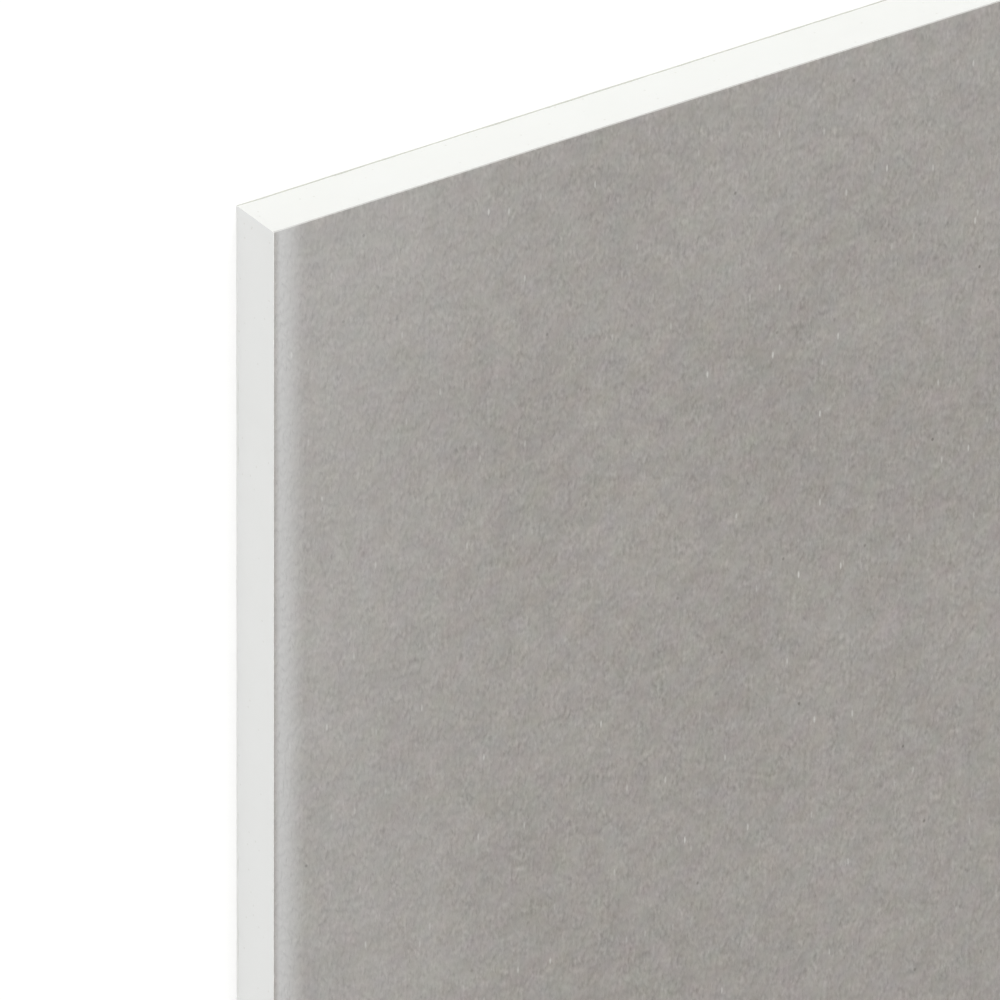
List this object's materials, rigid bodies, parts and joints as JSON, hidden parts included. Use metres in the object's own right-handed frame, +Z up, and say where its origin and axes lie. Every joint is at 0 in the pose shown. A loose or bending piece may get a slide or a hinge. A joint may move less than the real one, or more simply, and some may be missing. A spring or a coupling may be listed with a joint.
{
  "type": "drywall sheet",
  "caption": "Rectangular square-edge gypsum board: a white core between a grey face paper and a back paper.",
  "frame": {"origin": "centre of the underside, which is the back paper's outer face", "axes": "+X across the sheet, +Y along its length, +Z up through its thickness from back to face"},
  "size_m": [0.9, 1.22, 0.0125],
  "materials": {
    "back_paper": "matte",
    "gypsum_core": "matte",
    "face_paper": "matte"
  },
  "bodies": {
    "root": {"back_paper": "back_paper", "gypsum_core": "gypsum_core", "face_paper": "face_paper"}
  },
  "joints": []
}
